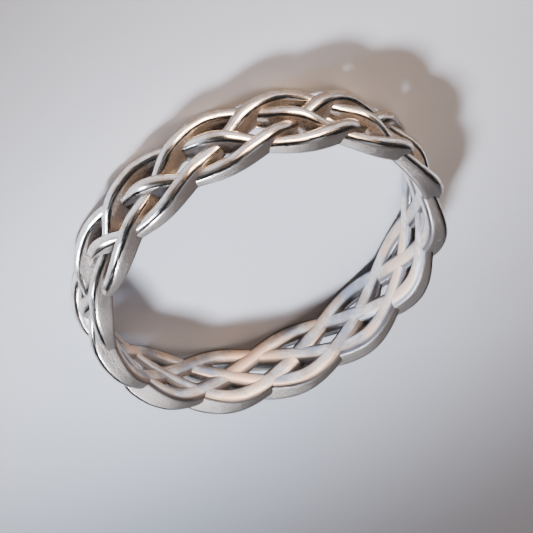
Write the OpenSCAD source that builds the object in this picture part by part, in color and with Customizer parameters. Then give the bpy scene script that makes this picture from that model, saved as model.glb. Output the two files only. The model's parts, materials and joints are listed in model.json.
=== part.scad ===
// Braided band ring: one pierced casting, four flat strands plaited round a finger hole.
// Millimetres. The axis is Z and the band rests on the tips of its lower scallops at z = 0.

/* [Finger hole] */
// Diameter of the smooth hole that the finger goes through
bore_d = 17.4; // [16:0.1:20]

/* [Band] */
// Width of the band, from scallop tip to scallop tip
band_w = 4.1; // [3.8:0.1:4.6]
// Thickness of the band where a strand lies on top
band_t = 1.4; // [1.2:0.05:1.7]

/* [Braid] */
// Scallops along each rim, which is also the number of diamond openings
scallops = 14; // [10:4:14]
// Width of a strand at its foot, on the finger side
foot_w = 1.06; // [0.9:0.02:1.1]
// Width of a strand where its side walls end and its crown begins
body_w = 0.7; // [0.6:0.02:0.8]
// Height of the rounded crown above the side walls
crown_h = 0.28; // [0.2:0.02:0.34]
// How far a crown sinks where the strand passes under its neighbour
dip = 0.5; // [0.3:0.05:0.6]
// Straightness of the strands between the rims, 0 for a wave and 1 for a zigzag
straightness = 0.85; // [0.6:0.05:0.95]

/* [Smoothness] */
// Sections of a strand for each scallop
sections = 8; // [6:1:8]

/* [Hidden] */
bore_r = bore_d / 2;
pitch_a = 360 / scallops;
sway = (band_w - foot_w) / 2;
mid_r = bore_r + band_t / 2;
root_r = bore_r - 0.25;
rim_zone = 0.6;
start = 0.3;
silver = "#B9B6B2";

// Level of a strand's crown at each crossing of one full zigzag: 1 on top, -1 underneath.
// Columns: place in scallops from the rim, level.
CROSSINGS = [
    [-0.5, 1],
    [0.5, -1],
    [1, 1],
    [1.5, -1],
    [2.5, 1],
    [3, -1],
    [3.5, 1],
    [4.5, -1]
];

// Half of a strand's section, from its foot to the middle of its crown.
// Columns: part of the half width, 0 at the foot's height or 1 at the crown's, drop in crown heights.
PROFILE = [
    [foot_w / body_w, 0, 0],
    [1, 1, 1],
    [0.8, 1, 0.36],
    [0.34, 1, 0.03]
];

// Position across the band: 1 at one rim, -1 at the other.
function lane(u) = asin(straightness * cos(90 * u)) / asin(straightness);

// Shift of the crown towards the nearer rim, so that the wall along the rim stands square.
function lean(u) = (foot_w - body_w) / 2 * max(-1, min(1, lane(u) / rim_zone));

function wrap(u) = u - 4 * floor((u + 0.5) / 4);

function ease(a, b, t) = a + (b - a) * (1 - cos(180 * t)) / 2;

function level(v, i = 0) =
    v <= CROSSINGS[i + 1][0]
        ? ease(CROSSINGS[i][1], CROSSINGS[i + 1][1],
            (v - CROSSINGS[i][0]) / (CROSSINGS[i + 1][0] - CROSSINGS[i][0]))
        : level(v, i + 1);

function crown_r(u) = bore_r + band_t - dip * (1 - level(wrap(u))) / 2;

// Unit normal of the path, drawn flat along the band: [along, across].
function normal(u, d = 0.01) =
    let(
        along = 2 * d * 2 * PI * mid_r / scallops,
        across = sway * (lane(u + d) - lane(u - d)),
        size = norm([along, across])
    )
    [-across / size, along / size];

// One point of the section: w is its place across the strand and r its distance from the axis.
function strand_point(u, w, r) =
    let(
        n = normal(u),
        a = u * pitch_a + w * n[0] / mid_r * 180 / PI,
        z = sway * lane(u) + w * n[1]
    )
    [r * cos(a), r * sin(a), z];

function section_points(u) =
    let(top = crown_r(u))
    [
        for (side = [-1, 1])
            for (k = [0 : len(PROFILE) - 1])
                let(
                    row = PROFILE[side < 0 ? k : len(PROFILE) - 1 - k],
                    r = row[1] == 0 ? root_r : top - crown_h * row[2]
                )
                strand_point(u, side * row[0] * body_w / 2 + row[1] * lean(u), r)
    ];

// One trip of a strand round the band, from one rim to the other. The strand closes after two trips.
module strand(trip) {
    steps = scallops * sections;
    ring = 2 * len(PROFILE);
    points = [
        for (i = [trip * steps : (trip + 1) * steps])
            each section_points((i % (2 * steps) + start) / sections)
    ];
    sides = [
        for (i = [0 : steps - 1])
            for (k = [0 : ring - 1])
                let(
                    here = i * ring,
                    next = here + ring,
                    m = (k + 1) % ring
                )
                each [
                    [here + k, here + m, next + m],
                    [here + k, next + m, next + k]
                ]
    ];
    ends = [
        [for (k = [0 : ring - 1]) ring - 1 - k],
        [for (k = [0 : ring - 1]) steps * ring + k]
    ];
    polyhedron(points = points, faces = concat(sides, ends), convexity = 12);
}

module braid() {
    for (k = [0, 1])
        rotate([0, 0, k * pitch_a])
            for (trip = [0, 1])
                strand(trip);
}

module braided_band() {
    color(silver)
        translate([0, 0, band_w / 2])
            difference() {
                resize([0, 0, band_w])
                    braid();
                cylinder(r = bore_r, h = band_w + 2, center = true, $fn = 8 * scallops);
            }
}

braided_band();
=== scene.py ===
import json
import math
import bpy
import bmesh
from mathutils import Matrix, Vector


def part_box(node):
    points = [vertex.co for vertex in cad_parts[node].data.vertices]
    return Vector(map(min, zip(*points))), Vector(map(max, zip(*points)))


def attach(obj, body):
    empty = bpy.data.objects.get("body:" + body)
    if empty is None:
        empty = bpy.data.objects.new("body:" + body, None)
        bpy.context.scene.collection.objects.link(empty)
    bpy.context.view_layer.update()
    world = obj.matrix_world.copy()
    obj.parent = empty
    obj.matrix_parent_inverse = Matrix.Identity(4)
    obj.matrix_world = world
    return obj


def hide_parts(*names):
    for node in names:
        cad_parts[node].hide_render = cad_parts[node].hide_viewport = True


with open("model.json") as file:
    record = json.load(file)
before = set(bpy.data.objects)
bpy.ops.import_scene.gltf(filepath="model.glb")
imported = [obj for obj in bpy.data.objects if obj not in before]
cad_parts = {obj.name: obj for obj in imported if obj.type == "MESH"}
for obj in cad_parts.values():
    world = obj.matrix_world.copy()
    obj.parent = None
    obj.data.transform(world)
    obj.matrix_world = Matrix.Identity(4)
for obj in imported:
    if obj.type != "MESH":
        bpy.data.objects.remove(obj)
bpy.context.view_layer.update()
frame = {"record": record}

print("frame loaded")


def srgb(code):  # sRGB hex to linear colour
    parts = [int(code[i:i + 2], 16) / 255 for i in (1, 3, 5)]
    return [c / 12.92 if c <= 0.04045 else ((c + 0.055) / 1.055) ** 2.4 for c in parts] + [1.0]


def addNode(tree, kind, settings, inputs):  # an input given as a socket is linked, any other is set
    node = tree.nodes.new(kind)
    for key, value in settings.items():
        setattr(node, key, value)
    for key, value in inputs.items():
        if isinstance(value, bpy.types.NodeSocket):
            tree.links.new(value, node.inputs[key])
        else:
            node.inputs[key].default_value = value
    return node


def pickVerts(piece, wanted):  # in edit mode, selects only the vertices with these indices
    shape = bmesh.from_edit_mesh(piece.data)
    for part in (shape.faces, shape.edges, shape.verts):
        for item in part:
            item.select = False
    shape.verts.ensure_lookup_table()
    for index in wanted:
        shape.verts[index].select = True
    shape.select_flush(True)
    bmesh.update_edit_mesh(piece.data)


def pickEdges(piece, test):  # in edit mode, selects only the edges whose two ends pass the test
    shape = bmesh.from_edit_mesh(piece.data)
    for part in (shape.faces, shape.edges, shape.verts):
        for item in part:
            item.select = False
    for edge in shape.edges:
        if test(*(vert.co for vert in edge.verts)):
            edge.select = True
    shape.select_flush(True)
    bmesh.update_edit_mesh(piece.data)


def applyPlace():
    bpy.ops.object.transform_apply(location=True, rotation=True, scale=True)


def direction(azimuth, elevation):  # unit vector, from degrees
    azimuth, elevation = math.radians(azimuth), math.radians(elevation)
    return Vector((math.cos(elevation) * math.cos(azimuth), math.cos(elevation) * math.sin(azimuth),
                   math.sin(elevation)))


# The ring: four flat strands plaited into a closed band, in millimetres until its last step
perMetre = 1000  # millimetres
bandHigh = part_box("braided_band")[1]
hole = frame["record"]["mounts"][0]["dims"]
braid = {
    "scallops": 14,  # along each rim
    "boreRadius": hole["r_mm"],
    "outerRadius": bandHigh[0] * perMetre,
    "bandWidth": bandHigh[2] * perMetre,
    "footWidth": 1.08,  # of a strand, on the finger side
    "bodyWidth": 0.81,  # of a strand, under its crown
    "crownHeight": 0.37,
    "footArch": 0.26,  # how far the foot's edges are worn away from the finger
    "dip": 0.5,  # how far a crown sinks where it passes under
    "relief": 0.04,  # how far an upper strand's foot lies back from the finger
    "straightness": 0.85,  # 0 for a wave, 1 for a zigzag
    "rimZone": 0.6,  # place across the band beyond which a strand's outer wall stands square
    "skin": 0.01,  # kept inside the frame's box
    "crest": 0.02,  # flat strip left along a crown and a foot
    "sectionsPerScallop": 12,
    "roundSteps": 6,  # facets of each rounded corner before smoothing
    "near": 0.02,  # heights closer than this count as the same
    "weld": 0.002,  # points closer than this become one
    "sharpAngle": 40,  # degrees, edges that stay crisp
}

# Crown level at each crossing of a zigzag: place in scallops from the upper rim, 1 on top and -1 under
crossings = [(-0.5, 1), (0.5, -1), (1, 1), (1.5, -1), (2.5, 1), (3, -1), (3.5, 1), (4.5, -1)]
zigzag = 4  # scallops that one zigzag of a strand spans


def laneAt(u):  # place across the band, 1 at the upper rim and -1 at the lower one
    k = braid["straightness"]
    return math.asin(k * math.cos(2 * math.pi * u / zigzag)) / math.asin(k)


def levelAt(u):
    for (a, levelA), (b, levelB) in zip(crossings, crossings[1:]):
        if a <= u <= b:
            return levelA + (levelB - levelA) * (1 - math.cos(math.pi * (u - a) / (b - a))) / 2


def makeStrandUnit():  # one zigzag of a strand, drawn along X with its crown at -Y and then bent
    thick = braid["outerRadius"] - braid["skin"] - braid["boreRadius"]
    half = thick / 2
    midRadius = braid["boreRadius"] + half
    pitch = 2 * math.pi * midRadius / braid["scallops"]
    advance = pitch / braid["sectionsPerScallop"]
    sway = (braid["bandWidth"] - braid["footWidth"]) / 2 - braid["skin"]
    shoulder = -half + braid["crownHeight"]
    instep = half - braid["footArch"]

    bpy.ops.object.select_all(action="DESELECT")
    bpy.ops.mesh.primitive_plane_add(size=1, rotation=(0, math.pi / 2, 0))
    unit = bpy.context.object
    unit.name = "braidedBandStrands"
    applyPlace()
    bpy.ops.transform.resize(value=(1, thick, braid["bodyWidth"]), center_override=(0, 0, 0))
    applyPlace()

    # Crown and foot rounded, each flattened to its height, and the foot spread to its width
    bpy.ops.object.mode_set(mode="EDIT")
    verts = unit.data.vertices
    corner = (braid["bodyWidth"] - braid["crest"]) / 2
    pickVerts(unit, [v.index for v in verts])
    bpy.ops.mesh.bevel(affect="VERTICES", offset=corner, segments=braid["roundSteps"])
    bpy.ops.object.mode_set(mode="OBJECT")  # a trip out of edit mode renews the list of vertices
    bpy.ops.object.mode_set(mode="EDIT")
    pickVerts(unit, [v.index for v in verts if v.co.y < 0])
    bpy.ops.transform.resize(value=(1, braid["crownHeight"] / corner, 1), center_override=(0, -half, 0))
    spread = braid["footWidth"] / braid["bodyWidth"]
    pickVerts(unit, [v.index for v in verts if v.co.y > 0])
    bpy.ops.transform.resize(value=(1, braid["footArch"] / corner, spread), center_override=(0, half, 0))
    bpy.ops.mesh.select_all(action="SELECT")
    bpy.ops.mesh.delete(type="ONLY_FACE")
    pickEdges(unit, lambda a, b: abs(a.y - b.y) > half / 2)
    bpy.ops.mesh.subdivide(number_cuts=2)  # both walls, in thirds

    # The outline is drawn out into a straight bar
    bpy.ops.mesh.select_all(action="SELECT")
    steps = zigzag * braid["sectionsPerScallop"]
    for step in range(steps):
        bpy.ops.mesh.extrude_edges_move(TRANSFORM_OT_translate={"value": (advance, 0, 0)})
    bpy.ops.object.mode_set(mode="OBJECT")
    rings = [[] for step in range(steps + 1)]
    for vert in verts:
        rings[round(vert.co.x / advance)].append(vert.index)
    crowns = {v.index for v in verts if v.co.y < shoulder + braid["near"]}
    walls = {v.index for v in verts if shoulder + braid["near"] <= v.co.y < instep - braid["near"]}
    feet = {v.index for v in verts} - crowns - walls
    upper = {i for i in walls if verts[i].co.y < (shoulder + instep) / 2}

    # Millimetres along the strand, as a closed loop, and round its section, for the polishing marks
    grain = unit.data.attributes.new("grain", "FLOAT_VECTOR", "POINT")
    loopRadius = zigzag * pitch / (2 * math.pi)
    for step, ring in enumerate(rings):
        turn = 2 * math.pi * step / steps
        for index in ring:
            place = verts[index].co
            grain.data[index].vector = (loopRadius * math.cos(turn), loopRadius * math.sin(turn),
                                        half * math.atan2(place.z, -place.y))

    # Each section leans to the nearer rim, sinks, turns and moves to its place across the band
    bpy.ops.object.mode_set(mode="EDIT")
    nudge = 0.01  # of a scallop, to find the slope
    for step, ring in enumerate(rings):
        u = step / braid["sectionsPerScallop"]
        centre = (u * pitch, half, 0)
        drop = braid["dip"] * (1 - levelAt(u)) / 2
        lift = braid["relief"] * (1 + levelAt(u)) / 2
        slope = sway * (laneAt(u + nudge) - laneAt(u - nudge)) / (2 * nudge * pitch)
        lean = (braid["footWidth"] - braid["bodyWidth"]) / 2 * max(-1, min(1, laneAt(u) / braid["rimZone"]))
        for part, share in ((crowns, 1), (upper, 2 / 3), (walls - upper, 1 / 3)):
            pickVerts(unit, [i for i in ring if i in part])
            bpy.ops.transform.translate(value=(0, 0, lean * share))
        pickVerts(unit, [i for i in ring if i in crowns])
        bpy.ops.transform.translate(value=(0, drop, 0))
        pickVerts(unit, [i for i in ring if i in walls])
        bpy.ops.transform.resize(value=(1, 1 - drop / (half - shoulder), 1), center_override=centre)
        pickVerts(unit, [i for i in ring if i in feet])
        bpy.ops.transform.translate(value=(0, -lift, 0))
        pickVerts(unit, ring)
        bpy.ops.transform.rotate(value=math.atan(slope), orient_axis="Y", center_override=centre)
        bpy.ops.transform.translate(value=(0, 0, sway * laneAt(u)))
    bpy.ops.object.mode_set(mode="OBJECT")

    # Bent round the finger hole, which the bar's foot faces
    bend = unit.modifiers.new("bend", "SIMPLE_DEFORM")
    bend.deform_method = "BEND"
    bend.deform_axis = "Z"
    bend.angle = zigzag * 2 * math.pi / braid["scallops"]
    bpy.ops.object.modifier_apply(modifier=bend.name)
    bpy.ops.transform.translate(value=(0, -midRadius, 0))
    applyPlace()
    bpy.ops.transform.rotate(value=-math.pi / 2, orient_axis="Z", center_override=(0, 0, 0))
    applyPlace()
    bpy.ops.transform.translate(value=(0, 0, braid["bandWidth"] / 2))
    applyPlace()
    return unit


def makeBraidedBand():  # one unit for each scallop, which join end to end into the closed strands
    unit = makeStrandUnit()
    print("strand unit made,", len(unit.data.polygons), "faces")
    parts = [unit]
    for k in range(1, braid["scallops"]):
        bpy.ops.object.select_all(action="DESELECT")
        unit.select_set(True)
        bpy.context.view_layer.objects.active = unit
        bpy.ops.object.duplicate()
        turn = k * 2 * math.pi / braid["scallops"]
        bpy.ops.transform.rotate(value=-turn, orient_axis="Z", center_override=(0, 0, 0))
        applyPlace()
        parts.append(bpy.context.object)
    bpy.ops.object.select_all(action="DESELECT")
    for part in parts:
        part.select_set(True)
    bpy.context.view_layer.objects.active = unit
    bpy.ops.object.join()
    band = bpy.context.object
    bpy.ops.object.mode_set(mode="EDIT")
    bpy.ops.mesh.select_all(action="SELECT")
    bpy.ops.mesh.remove_doubles(threshold=braid["weld"])
    bpy.ops.mesh.normals_make_consistent(inside=False)
    bpy.ops.object.mode_set(mode="OBJECT")
    smooth = band.modifiers.new("smooth", "SUBSURF")
    smooth.levels = 1
    smooth.render_levels = 1
    bpy.ops.object.modifier_apply(modifier=smooth.name)
    bpy.ops.transform.resize(value=(1 / perMetre,) * 3, center_override=(0, 0, 0))
    applyPlace()
    bpy.ops.object.shade_smooth_by_angle(angle=math.radians(braid["sharpAngle"]))
    print("braided band made,", len(band.data.polygons), "faces")
    return band


# Cast sterling silver, tumbled and then worn. The crowns are bright, with soft marks along the strands,
# and painted shade greys their shoulders so that each strand looks round. The walls along the rims are
# satin and pitted.
# The recesses keep the dull, pitted skin of the casting, with painted shade, partly the real patina,
# darkest in the corners, so that the braid reads light over dark. Warm worn patches are partly real toning
# and partly a painted warm reflection.
# The finger side is satin, with painted shade along the edges of each foot and in the corners, and random
# cool and warm clouds that are painted reflections of the cool and warm lights.
silver = {
    "polished": "#F8F4EE",
    # warm patches on the crowns and the finger side, partly real toning and partly a painted warm
    # reflection
    "wornToneAndWarmReflection": "#DCCBBB",
    # painted shade: the greyer colour of the crowns' shoulders, which makes each strand look round; the
    # polishing marks use it too
    "shoulder": "#88827C",
    "satin": "#6E6862",
    "dull": "#6F6F72",
    "tarnished": "#837C76",
    # dark of the real pits, and of the painted shade in the corners
    "pitAndShadeDark": "#2A2725",
    # painted reflections: cool and warm tints of the lights, in random clouds on the finger side
    "coolReflectionTint": "#AAB3BF",
    "warmReflectionTint": "#F7D8BE",
    # Sizes in millimetres. Real pits are about 0.03 wide and are drawn coarser, so that they show
    "pitSize": 0.09,
    "wearSize": 0.9,
    "cloudSize": 3.2,
    "markLength": 0.7,
    "markWidth": 0.06,
    "pitDepth": 0.04,
    "markDepth": 0.02,
    "cornerReach": 0.6,  # how near a wall shades a corner
    "cornerSamples": 8,
    "noiseDetail": (3.0, 4.0, 4.0),  # of the pits, the worn patches and the clouds
    "noiseRoughness": 0.6,
    "markDetail": 3.0,
    # Each share goes from 0 at the first value to 1 at the second
    "crown": (0.15, 0.5),  # by how far a face looks outwards: 1 on top, 0 on a wall, -1 to the finger
    # painted shade on the crowns' shoulders, by how far a face looks outwards
    "shoulderShade": (0.88, 0.6),
    "finger": (-0.3, -0.7),
    # painted shade along the edges of each foot on the finger side
    "footEdgeShade": (-0.985, -0.9),
    "rim": (0.7, 1.0),  # by height from the band's middle, on faces along the axis
    "deep": (9.8, 9.0),  # by distance from the axis
    # painted shade in the corners, partly the real patina of the recesses
    "cornerPatinaAndShade": (0.7, 0.25),  # by the light that reaches a spot
    "pits": (0.47, 0.36),  # and the others by their noise
    "wear": (0.42, 0.62),
    "marks": (0.5, 0.62),
    # shares of the painted cool and warm reflection tints
    "paintedCoolTint": (0.5, 0.34),
    "paintedWarmTint": (0.5, 0.64),
    "dulling": (0.35, 0.65),  # patches where the crowns and the finger side are rougher
    "pitsOnRims": 0.8,  # strength of their colour there
    "marksOnCrowns": 0.45,
    "crownRoughness": (0.11, 0.2),  # glossiest and dullest
    "fingerRoughness": (0.29, 0.48),
    "markRoughness": 0.3,
    # In the recesses, on the rims, on the crowns and on the finger side. Bare metal is 1, and the
    # recesses keep a matt film
    "metallic": (0.4, 0.9, 1.0, 1.0),
    "roughness": (0.6, 0.48),  # the crowns and the finger side as above
    "pitBump": (1.0, 1.0, 0.08, 0.2),
    "markBump": (0.25, 0.25, 0.25, 0.0),
}


def castSterlingSilver():
    material = bpy.data.materials.new("castSterlingSilver")
    material.use_nodes = True
    tree = material.node_tree
    tree.nodes.clear()
    polished, wornToneAndWarmReflection, shoulder, satin, dull, tarnished, pitAndShadeDark, coolReflectionTint, warmReflectionTint = (
        srgb(silver[name]) for name in ("polished", "wornToneAndWarmReflection", "shoulder", "satin", "dull", "tarnished",
                                        "pitAndShadeDark", "coolReflectionTint", "warmReflectionTint"))

    # Where a spot lies on the ring and which way it looks, in millimetres
    texture = addNode(tree, "ShaderNodeTexCoord", {}, {})
    place = addNode(tree, "ShaderNodeVectorMath", {"operation": "SCALE"},
                    {0: texture.outputs["Object"], "Scale": perMetre}).outputs[0]
    flat = addNode(tree, "ShaderNodeVectorMath", {"operation": "MULTIPLY"},
                   {0: place, 1: (1, 1, 0)}).outputs[0]
    radius = addNode(tree, "ShaderNodeVectorMath", {"operation": "LENGTH"}, {0: flat}).outputs["Value"]
    outward = addNode(tree, "ShaderNodeVectorMath", {"operation": "NORMALIZE"}, {0: flat}).outputs[0]
    facing = addNode(tree, "ShaderNodeVectorMath", {"operation": "DOT_PRODUCT"},
                     {0: outward, 1: texture.outputs["Normal"]}).outputs["Value"]
    spot = addNode(tree, "ShaderNodeSeparateXYZ", {}, {0: place})
    tilt = addNode(tree, "ShaderNodeSeparateXYZ", {}, {0: texture.outputs["Normal"]})
    height = addNode(tree, "ShaderNodeMath", {"operation": "SUBTRACT"},
                     {0: spot.outputs[2], 1: braid["bandWidth"] / 2}).outputs[0]
    rimward = addNode(tree, "ShaderNodeMath", {"operation": "MULTIPLY"},
                      {0: height, 1: tilt.outputs[2]}).outputs[0]
    # ambient occlusion, for the painted shade in the corners
    openness = addNode(tree, "ShaderNodeAmbientOcclusion", {"samples": silver["cornerSamples"]},
                       {"Distance": silver["cornerReach"] / perMetre}).outputs["AO"]

    # Pits, worn patches and the clouds of painted reflection lie anywhere, and the polishing marks run
    # along the strands
    grit, blotch, cloud = (
        addNode(tree, "ShaderNodeTexNoise", {},
                {"Vector": place, "Scale": 1 / silver[size], "Detail": detail,
                 "Roughness": silver["noiseRoughness"]}).outputs[0]
        for size, detail in zip(("pitSize", "wearSize", "cloudSize"), silver["noiseDetail"]))
    grain = addNode(tree, "ShaderNodeAttribute", {"attribute_name": "grain"}, {}).outputs["Vector"]
    along, across = 1 / silver["markLength"], 1 / silver["markWidth"]
    stretched = addNode(tree, "ShaderNodeVectorMath", {"operation": "MULTIPLY"},
                        {0: grain, 1: (along, along, across)}).outputs[0]
    streak = addNode(tree, "ShaderNodeTexNoise", {},
                     {"Vector": stretched, "Scale": 1.0, "Detail": silver["markDetail"]}).outputs[0]

    shares = {}
    for name, source in (("crown", facing), ("shoulderShade", facing), ("finger", facing),
                         ("footEdgeShade", facing), ("rim", rimward), ("deep", radius), ("cornerPatinaAndShade", openness),
                         ("pits", grit), ("wear", blotch), ("marks", streak), ("paintedCoolTint", cloud),
                         ("paintedWarmTint", cloud)):
        shares[name] = addNode(tree, "ShaderNodeMapRange", {"interpolation_type": "SMOOTHSTEP"},
                               {0: source, 1: silver[name][0], 2: silver[name][1]}).outputs[0]
    rimPits = addNode(tree, "ShaderNodeMath", {"operation": "MULTIPLY"},
                      {0: shares["pits"], 1: silver["pitsOnRims"]}).outputs[0]
    crownMarks = addNode(tree, "ShaderNodeMath", {"operation": "MULTIPLY"},
                         {0: shares["marks"], 1: silver["marksOnCrowns"]}).outputs[0]

    # Colours, from the recesses to the rims, the crowns and the finger side
    blend = {"data_type": "RGBA"}  # socket 0 is the share of the colour in 7 over the one in 6
    filmAndCornerShade = addNode(tree, "ShaderNodeMix", blend, {0: shares["wear"], 6: dull, 7: tarnished}).outputs[2]
    filmAndCornerShade = addNode(tree, "ShaderNodeMix", blend, {0: shares["deep"], 6: satin, 7: filmAndCornerShade}).outputs[2]
    filmAndCornerShade = addNode(tree, "ShaderNodeMix", blend, {0: shares["pits"], 6: filmAndCornerShade, 7: pitAndShadeDark}).outputs[2]
    # painted shade darkens the recesses' corners, partly standing for the real patina
    filmAndCornerShade = addNode(tree, "ShaderNodeMix", blend, {0: shares["cornerPatinaAndShade"], 6: filmAndCornerShade, 7: pitAndShadeDark}).outputs[2]
    rims = addNode(tree, "ShaderNodeMix", blend, {0: rimPits, 6: satin, 7: dull}).outputs[2]
    walls = addNode(tree, "ShaderNodeMix", blend, {0: shares["rim"], 6: filmAndCornerShade, 7: rims}).outputs[2]
    # worn patches, partly real toning and partly a painted warm reflection
    bright = addNode(tree, "ShaderNodeMix", blend, {0: shares["wear"], 6: polished, 7: wornToneAndWarmReflection}).outputs[2]
    bright = addNode(tree, "ShaderNodeMix", blend, {0: crownMarks, 6: bright, 7: shoulder}).outputs[2]
    # painted shade: the crowns' shoulders turn greyer as they face away from the top
    crowns = addNode(tree, "ShaderNodeMix", blend,
                     {0: shares["shoulderShade"], 6: bright, 7: shoulder}).outputs[2]
    outside = addNode(tree, "ShaderNodeMix", blend, {0: shares["crown"], 6: walls, 7: crowns}).outputs[2]
    # painted reflection: cool and warm tints of the lights on the finger side
    inside = addNode(tree, "ShaderNodeMix", blend, {0: shares["paintedCoolTint"], 6: bright, 7: coolReflectionTint}).outputs[2]
    inside = addNode(tree, "ShaderNodeMix", blend, {0: shares["paintedWarmTint"], 6: inside, 7: warmReflectionTint}).outputs[2]
    # painted shade: the foot's edges turn dull grey as they face away from the finger
    inside = addNode(tree, "ShaderNodeMix", blend, {0: shares["footEdgeShade"], 6: inside, 7: dull}).outputs[2]
    # painted shade darkens the corners of the finger side
    inside = addNode(tree, "ShaderNodeMix", blend,
                     {0: shares["cornerPatinaAndShade"], 6: inside, 7: pitAndShadeDark}).outputs[2]
    colour = addNode(tree, "ShaderNodeMix", blend, {0: shares["finger"], 6: outside, 7: inside}).outputs[2]

    # Gloss and relief of the same four zones
    start, end = silver["dulling"]
    crownRough, fingerRough = (
        addNode(tree, "ShaderNodeMapRange", {"interpolation_type": "SMOOTHSTEP"},
                {0: source, 1: start, 2: end, 3: silver[name][0], 4: silver[name][1]}).outputs[0]
        for source, name in ((blotch, "crownRoughness"), (cloud, "fingerRoughness")))
    crownRough = addNode(tree, "ShaderNodeMix", {"data_type": "FLOAT"},
                         {0: shares["marks"], 2: crownRough, 3: silver["markRoughness"]}).outputs[0]
    zoned = []
    for recess, *others in (silver["metallic"], (*silver["roughness"], crownRough, fingerRough),
                            silver["pitBump"], silver["markBump"]):
        value = recess
        for zone, other in zip(("rim", "crown", "finger"), others):
            value = addNode(tree, "ShaderNodeMix", {"data_type": "FLOAT"},
                            {0: shares[zone], 2: value, 3: other}).outputs[0]
        zoned.append(value)
    metallic, rough, pitBump, markBump = zoned
    pitted = addNode(tree, "ShaderNodeBump", {},
                     {"Strength": pitBump, "Distance": silver["pitDepth"] / perMetre, "Height": grit})
    marked = addNode(tree, "ShaderNodeBump", {},
                     {"Strength": markBump, "Distance": silver["markDepth"] / perMetre,
                      "Height": streak, "Normal": pitted.outputs[0]})
    shader = addNode(tree, "ShaderNodeBsdfPrincipled", {},
                     {"Base Color": colour, "Metallic": metallic, "Roughness": rough,
                      "Normal": marked.outputs[0]})
    addNode(tree, "ShaderNodeOutputMaterial", {}, {0: shader.outputs[0]})
    return material


band = makeBraidedBand()
band.data.materials.clear()
band.data.materials.append(castSterlingSilver())
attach(band, "root")
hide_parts("braided_band")
print("finish made")

# The camera: the photograph's angle to the ring, which lies on its side
view = {
    "azimuth": -45.227,  # degrees from +X towards +Y, of the way from the ring to the camera
    "elevation": 39.285,
    "roll": 150.666,  # degrees that the picture's top is turned from the world's top
    "distance": 0.26495,  # metres, as the shifts and the clipping
    "right": 0.000334,  # shift of the camera along the picture's axes
    "up": -0.000660,
    "clip": (0.01, 10),
    "lens": 345.06,  # millimetres, as the sensor
    "sensor": 36,
}
centre = Vector((0, 0, braid["bandWidth"] / 2 / perMetre))
back = direction(view["azimuth"], view["elevation"])
roll = math.radians(view["roll"])
levelRight = Vector((0, 0, 1)).cross(back).normalized()
levelUp = back.cross(levelRight)
right = levelRight * math.cos(roll) + levelUp * math.sin(roll)
up = back.cross(right)
stand = centre + view["distance"] * back + view["right"] * right + view["up"] * up

cameraData = bpy.data.cameras.new("camera")
cameraData.lens = view["lens"]
cameraData.sensor_width = view["sensor"]
cameraData.clip_start, cameraData.clip_end = view["clip"]
camera = bpy.data.objects.new("camera", cameraData)
bpy.context.collection.objects.link(camera)
camera.matrix_world = Matrix.Translation(stand) @ Matrix((right, up, back)).transposed().to_4x4()
bpy.context.scene.camera = camera

# The pale floor, the dim room and the studio lights, which all face the ring
studio = {
    "floorSize": 1.2,  # metres
    "paper": "#A2A5AA",
    "paperRoughness": 0.8,
    "room": "#6E7378",
    "roomStrength": 0.38,
}
# Azimuth and elevation in degrees, distance, width and height in metres, watts, colour, spread in degrees
lights = {
    "coolWindow": (62, 50, 0.09, 0.018, 0.018, 0.018, "#F0F3FF", 36),
    "warmPanel": (-80, 10, 0.12, 0.1, 0.035, 0.34, "#FFD8B8", 150),
    "coolEdge": (24, 8, 0.13, 0.032, 0.014, 0.19, "#DDE8FF", 150),
    "skyFill": (-135, 65, 0.2, 0.12, 0.12, 0.08, "#E4ECFF", 180),
}
bpy.ops.object.select_all(action="DESELECT")
bpy.ops.mesh.primitive_plane_add(size=studio["floorSize"], location=(0, 0, 0))
floor = bpy.context.object
floor.name = "floor"
paper = bpy.data.materials.new("palePaper")
paper.use_nodes = True
paperShader = paper.node_tree.nodes["Principled BSDF"]
paperShader.inputs["Base Color"].default_value = srgb(studio["paper"])
paperShader.inputs["Roughness"].default_value = studio["paperRoughness"]
floor.data.materials.append(paper)

world = bpy.data.worlds.new("studio")
world.use_nodes = True
room = world.node_tree.nodes["Background"]
room.inputs["Color"].default_value = srgb(studio["room"])
room.inputs["Strength"].default_value = studio["roomStrength"]
bpy.context.scene.world = world

for name, (azimuth, elevation, distance, width, height, power, colour, spread) in lights.items():
    data = bpy.data.lights.new(name, "AREA")
    data.shape = "RECTANGLE"
    data.size = width
    data.size_y = height
    data.energy = power
    data.color = srgb(colour)[:3]
    data.spread = math.radians(spread)
    light = bpy.data.objects.new(name, data)
    bpy.context.collection.objects.link(light)
    way = direction(azimuth, elevation)
    light.location = centre + distance * way
    light.rotation_euler = way.to_track_quat("Z", "Y").to_euler()
print("camera and light made")
